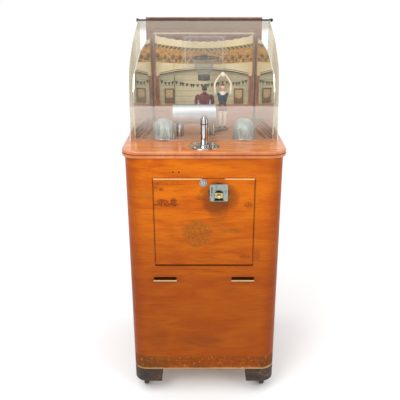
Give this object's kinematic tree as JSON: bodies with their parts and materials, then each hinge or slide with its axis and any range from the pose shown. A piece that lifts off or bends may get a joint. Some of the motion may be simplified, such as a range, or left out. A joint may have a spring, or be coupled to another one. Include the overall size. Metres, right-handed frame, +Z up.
{
  "type": "arcade ball game cabinet",
  "caption": "Coin-operated arcade cabinet on casters: wooden body with coin door, control post, and a small hoop-game stage under a lift-off clear bent hood.",
  "frame": {"origin": "centre of the machine's footprint box, on the floor", "axes": "+Z up, -Y towards the player at the front, +X to the player's right"},
  "size_m": [0.65, 0.708, 1.612],
  "materials": {
    "veneer": "orange-brown veneer, satin, worn near the floor",
    "table_wood": "reddish-brown gloss",
    "plywood": "plain board inside the cabinet",
    "dark_wood": "dark weathered, chipped",
    "chrome": "polished",
    "zinc": "dull zinc plate",
    "steel": "plain steel sheet",
    "brass": "pale worn brass",
    "clear_sheet": "clear bent sheet",
    "mirror_glass": "mirror",
    "painted_board": "cream paint on board",
    "stage_wood": "varnished pinkish brown",
    "lamp_glass": "frosted ribbed shell",
    "bulb_glass": "small bulb",
    "net_cord": "grey knotted cord",
    "black_metal": "black enamel",
    "figure_paint": "hand-painted figure",
    "rubber": "belt",
    "wheel": "dark hard wheel"
  },
  "bodies": {
    "cabinet": {"front_panel": "veneer", "corner_post_left": "veneer", "corner_post_right": "veneer", "side_panel_left": "veneer", "side_panel_right": "veneer", "back_panel": "plywood", "bottom_board": "plywood", "cash_shelf": "plywood", "table_top": "table_wood", "foot_blocks": "dark_wood", "caster_plates": "steel", "door_pivot_pins": "steel", "cash_box": "steel", "slot_lips": "zinc", "stage_floor": "stage_wood", "stage_riser": "stage_wood", "side_mirror_left": "mirror_glass", "side_mirror_right": "mirror_glass", "mirror_rails": "stage_wood", "backdrop": "painted_board", "columns": "stage_wood", "valance": "painted_board", "back_board": "table_wood", "rear_box": "plywood", "backboard_plate": "clear_sheet", "backboard_struts": "steel", "hoop": "chrome", "net": "net_cord", "net_collar": "black_metal", "shell_lamps": "lamp_glass", "lamp_bulbs": "bulb_glass", "feed_tube": "chrome", "feed_tube_stands": "chrome", "control_flange": "chrome", "drive_belt": "rubber", "standing_figure": "figure_paint"},
    "door": {"coin_door": "veneer", "lock_housing": "chrome", "coin_plate": "zinc", "coin_mechanism": "steel", "coin_chute": "steel"},
    "lock": {"lock_plug": "brass"},
    "flap": {"coin_flap": "brass"},
    "hood": {"hood_sheet": "clear_sheet", "hood_side_left": "clear_sheet", "hood_side_right": "clear_sheet", "tie_rod": "black_metal"},
    "control": {"control_post": "chrome"},
    "button": {"control_button": "chrome"},
    "arm": {"swing_arm": "black_metal", "raised_arm_figure": "figure_paint"},
    "arms": {"figure_arms": "figure_paint"},
    "fork_front_left": {"caster_fork_front_left": "steel"},
    "wheel_front_left": {"caster_wheel_front_left": "wheel"},
    "fork_front_right": {"caster_fork_front_right": "steel"},
    "wheel_front_right": {"caster_wheel_front_right": "wheel"},
    "fork_rear_left": {"caster_fork_rear_left": "steel"},
    "wheel_rear_left": {"caster_wheel_rear_left": "wheel"},
    "fork_rear_right": {"caster_fork_rear_right": "steel"},
    "wheel_rear_right": {"caster_wheel_rear_right": "wheel"}
  },
  "joints": [
    {"name": "coin_door_hinge", "type": "hinge", "parent": "cabinet", "child": "door", "pos_m": [0, -0.325, 0.663], "axis": [1, 0, 0], "range_deg": [0, 90]},
    {"name": "lock_turn", "type": "hinge", "parent": "door", "child": "lock", "pos_m": [-0.003, -0.334, 1.0165], "axis": [0, -1, 0], "range_deg": [0, 90]},
    {"name": "coin_flap_hinge", "type": "hinge", "parent": "door", "child": "flap", "pos_m": [0.059, -0.336, 0.973], "axis": [-1, 0, 0], "range_deg": [0, 50]},
    {"name": "hood_lift", "type": "slide", "parent": "cabinet", "child": "hood", "axis": [0, 0, 1], "range_m": [0, 0.5]},
    {"name": "arm_turn", "type": "hinge", "parent": "cabinet", "child": "arm", "pos_m": [0.015, -0.091, 1.145], "axis": [0, 0, 1], "range_deg": [-15, 15]},
    {"name": "control_turn", "type": "hinge", "parent": "cabinet", "child": "control", "pos_m": [0, -0.2595, 1.145], "axis": [0, 0, 1], "range_deg": [-15, 15]},
    {"name": "arms_swing", "type": "hinge", "parent": "arm", "child": "arms", "pos_m": [0.081, 0.011, 1.308], "axis": [1, 0, 0], "range_deg": [0, 50]},
    {"name": "button_press", "type": "slide", "parent": "control", "child": "button", "axis": [0, 0, -1], "range_m": [0, 0.008], "stiffness_N_per_m": 300, "springref_m": -0.006},
    {"name": "swivel_front_left", "type": "hinge", "parent": "cabinet", "child": "fork_front_left", "pos_m": [-0.268, -0.2725, 0.069], "axis": [0, 0, 1], "continuous": true},
    {"name": "roll_front_left", "type": "hinge", "parent": "fork_front_left", "child": "wheel_front_left", "pos_m": [-0.268, -0.2585, 0.025], "axis": [1, 0, 0], "continuous": true},
    {"name": "swivel_front_right", "type": "hinge", "parent": "cabinet", "child": "fork_front_right", "pos_m": [0.268, -0.2725, 0.069], "axis": [0, 0, 1], "continuous": true},
    {"name": "roll_front_right", "type": "hinge", "parent": "fork_front_right", "child": "wheel_front_right", "pos_m": [0.268, -0.2585, 0.025], "axis": [1, 0, 0], "continuous": true},
    {"name": "swivel_rear_left", "type": "hinge", "parent": "cabinet", "child": "fork_rear_left", "pos_m": [-0.268, 0.2805, 0.069], "axis": [0, 0, 1], "continuous": true},
    {"name": "roll_rear_left", "type": "hinge", "parent": "fork_rear_left", "child": "wheel_rear_left", "pos_m": [-0.268, 0.2945, 0.025], "axis": [1, 0, 0], "continuous": true},
    {"name": "swivel_rear_right", "type": "hinge", "parent": "cabinet", "child": "fork_rear_right", "pos_m": [0.268, 0.2805, 0.069], "axis": [0, 0, 1], "continuous": true},
    {"name": "roll_rear_right", "type": "hinge", "parent": "fork_rear_right", "child": "wheel_rear_right", "pos_m": [0.268, 0.2945, 0.025], "axis": [1, 0, 0], "continuous": true}
  ],
  "couplings": [
    {"joint": "control_turn", "follows": "arm_turn", "ratio": 1},
    {"joint": "button_press", "follows": "arms_swing", "m_per_rad": 0.0091673}
  ]
}
